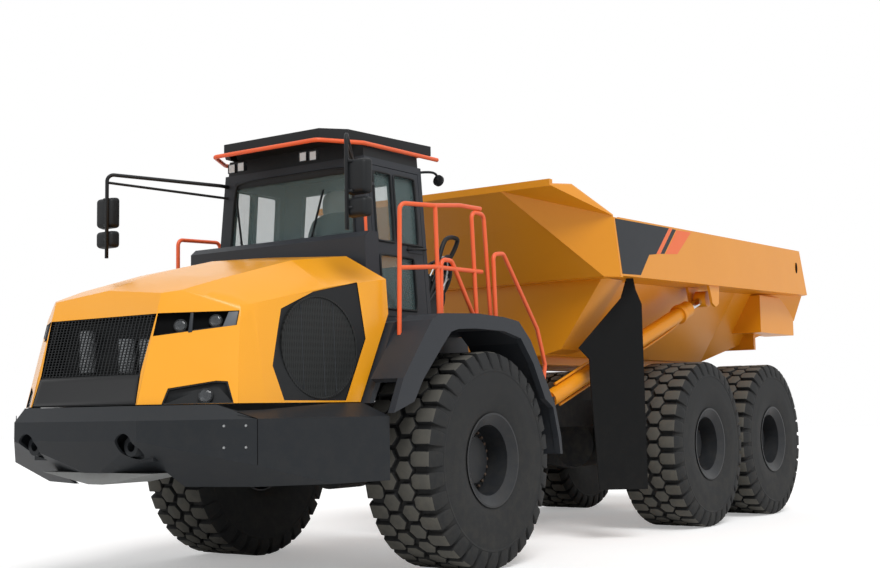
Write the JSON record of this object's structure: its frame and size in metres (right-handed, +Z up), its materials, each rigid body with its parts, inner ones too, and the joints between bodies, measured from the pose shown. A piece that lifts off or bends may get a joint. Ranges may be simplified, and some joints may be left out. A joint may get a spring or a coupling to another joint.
{
  "type": "articulated dump truck",
  "caption": "articulated dump truck with a tipping load body, a hinged hood and cab door, centre-pivot steering and turning wheels",
  "frame": {"origin": "bottom centre of the box round the whole truck", "axes": "+X forward, +Y to the truck's left, +Z up"},
  "size_m": [11, 3.4, 3.83],
  "materials": {
    "frame_black": "satin",
    "charcoal_paint": "satin",
    "light_grey_paint": "satin",
    "hood_yellow": "gloss",
    "body_yellow": "satin",
    "chrome_rod": "polished",
    "rail_orange": "satin",
    "window_glass": "clear",
    "lamp_plastic": "clear",
    "black_plastic": "matte",
    "seat_fabric": "matte",
    "flap_rubber": "matte",
    "tyre_rubber": "matte",
    "rim_paint": "satin"
  },
  "bodies": {
    "front_unit": {"front_frame": "frame_black", "front_axle": "frame_black", "engine_block": "frame_black", "bumper": "charcoal_paint", "skid_plate": "light_grey_paint", "fenders": "charcoal_paint", "deck": "charcoal_paint", "cowl": "charcoal_paint", "cab_shell": "charcoal_paint", "cab_roof": "charcoal_paint", "cab_glass": "window_glass", "seat": "seat_fabric", "dashboard": "black_plastic", "roof_rail": "rail_orange", "handrails": "rail_orange", "mirrors": "black_plastic", "service_stack": "frame_black"},
    "hood": {"hood_shell": "hood_yellow", "grille": "black_plastic", "side_screens": "black_plastic", "headlamps": "lamp_plastic"},
    "door_left": {"door_frame": "charcoal_paint", "door_glass": "window_glass"},
    "hitch": {"hitch": "frame_black"},
    "rear_unit": {"rear_frame": "frame_black", "rear_axles": "frame_black", "walking_beams": "frame_black"},
    "bed": {"bed_shell": "body_yellow", "mudflaps": "flap_rubber"},
    "hoist_barrel_left": {"hoist_barrel_left": "body_yellow"},
    "hoist_rod_left": {"hoist_rod_left": "chrome_rod"},
    "steer_barrel_left": {"steer_barrel_left": "frame_black"},
    "steer_rod_left": {"steer_rod_left": "chrome_rod"},
    "hoist_barrel_right": {"hoist_barrel_right": "body_yellow"},
    "hoist_rod_right": {"hoist_rod_right": "chrome_rod"},
    "steer_barrel_right": {"steer_barrel_right": "frame_black"},
    "steer_rod_right": {"steer_rod_right": "chrome_rod"},
    "wheel_front_left": {"tyre_front_left": "tyre_rubber", "rim_front_left": "rim_paint"},
    "wheel_front_right": {"tyre_front_right": "tyre_rubber", "rim_front_right": "rim_paint"},
    "wheel_mid_left": {"tyre_mid_left": "tyre_rubber", "rim_mid_left": "rim_paint"},
    "wheel_mid_right": {"tyre_mid_right": "tyre_rubber", "rim_mid_right": "rim_paint"},
    "wheel_rear_left": {"tyre_rear_left": "tyre_rubber", "rim_rear_left": "rim_paint"},
    "wheel_rear_right": {"tyre_rear_right": "tyre_rubber", "rim_rear_right": "rim_paint"}
  },
  "joints": [
    {"name": "articulation", "type": "hinge", "parent": "front_unit", "child": "hitch", "pos_m": [0.81, 0, 1.13], "axis": [0, 0, 1], "range_deg": [-45, 45]},
    {"name": "oscillation", "type": "hinge", "parent": "hitch", "child": "rear_unit", "pos_m": [0.3, 0, 1.13], "axis": [-1, 0, 0], "range_deg": [-15, 15]},
    {"name": "bed_tip", "type": "hinge", "parent": "rear_unit", "child": "bed", "pos_m": [-4.39, 0, 1.6], "axis": [0, -1, 0], "range_deg": [0, 70]},
    {"name": "hood_tilt", "type": "hinge", "parent": "front_unit", "child": "hood", "pos_m": [5.35, 0, 1.46], "axis": [0, 1, 0], "range_deg": [0, 60]},
    {"name": "door_left_hinge", "type": "hinge", "parent": "front_unit", "child": "door_left", "pos_m": [3.006, 0.90095, 2.83], "axis": [0, 0.0712, -0.9975], "range_deg": [0, 45]},
    {"name": "spin_front_left", "type": "hinge", "parent": "front_unit", "child": "wheel_front_left", "pos_m": [2.36, 1.32, 0.9375], "axis": [0, 1, 0], "continuous": true},
    {"name": "spin_front_right", "type": "hinge", "parent": "front_unit", "child": "wheel_front_right", "pos_m": [2.36, -1.32, 0.9375], "axis": [0, 1, 0], "continuous": true},
    {"name": "spin_mid_left", "type": "hinge", "parent": "rear_unit", "child": "wheel_mid_left", "pos_m": [-2.195, 1.32, 0.9375], "axis": [0, 1, 0], "continuous": true},
    {"name": "spin_mid_right", "type": "hinge", "parent": "rear_unit", "child": "wheel_mid_right", "pos_m": [-2.195, -1.32, 0.9375], "axis": [0, 1, 0], "continuous": true},
    {"name": "spin_rear_left", "type": "hinge", "parent": "rear_unit", "child": "wheel_rear_left", "pos_m": [-4.135, 1.32, 0.9375], "axis": [0, 1, 0], "continuous": true},
    {"name": "spin_rear_right", "type": "hinge", "parent": "rear_unit", "child": "wheel_rear_right", "pos_m": [-4.135, -1.32, 0.9375], "axis": [0, 1, 0], "continuous": true},
    {"name": "hoist_swing_left", "type": "hinge", "parent": "rear_unit", "child": "hoist_barrel_left", "pos_m": [0.36, 0.98, 1.42], "axis": [0.417, 0.3781, 0.8266], "range_deg": [-0.5, 5.05]},
    {"name": "hoist_slide_left", "type": "slide", "parent": "hoist_barrel_left", "child": "hoist_rod_left", "axis": [-0.9089, 0.1658, 0.3827], "range_m": [-0.01, 2.4614]},
    {"name": "steer_swing_left", "type": "hinge", "parent": "front_unit", "child": "steer_barrel_left", "pos_m": [1.84, 0.33, 1.02], "axis": [0, 0, 1], "range_deg": [-1, 1]},
    {"name": "steer_slide_left", "type": "slide", "parent": "steer_barrel_left", "child": "steer_rod_left", "axis": [-0.9996, -0.0278, 0], "range_m": [-0.22, 0.22]},
    {"name": "hoist_swing_right", "type": "hinge", "parent": "rear_unit", "child": "hoist_barrel_right", "pos_m": [0.36, -0.98, 1.42], "axis": [-0.417, 0.3781, -0.8266], "range_deg": [-0.5, 5.05]},
    {"name": "hoist_slide_right", "type": "slide", "parent": "hoist_barrel_right", "child": "hoist_rod_right", "axis": [-0.9089, -0.1658, 0.3827], "range_m": [-0.01, 2.4614]},
    {"name": "steer_swing_right", "type": "hinge", "parent": "front_unit", "child": "steer_barrel_right", "pos_m": [1.84, -0.33, 1.02], "axis": [0, 0, 1], "range_deg": [-1, 1]},
    {"name": "steer_slide_right", "type": "slide", "parent": "steer_barrel_right", "child": "steer_rod_right", "axis": [-0.9996, 0.0278, 0], "range_m": [-0.22, 0.22]}
  ],
  "couplings": [
    {"joint": "hoist_swing_left", "follows": "bed_tip", "ratio": 0.064985},
    {"joint": "hoist_slide_left", "follows": "bed_tip", "m_per_rad": 2.0065},
    {"joint": "steer_slide_left", "follows": "articulation", "m_per_rad": 0.27339},
    {"joint": "steer_swing_left", "follows": "articulation", "ratio": 0.0147},
    {"joint": "hoist_swing_right", "follows": "bed_tip", "ratio": 0.064985},
    {"joint": "hoist_slide_right", "follows": "bed_tip", "m_per_rad": 2.0065},
    {"joint": "steer_slide_right", "follows": "articulation", "m_per_rad": -0.27339},
    {"joint": "steer_swing_right", "follows": "articulation", "ratio": 0.0147}
  ]
}
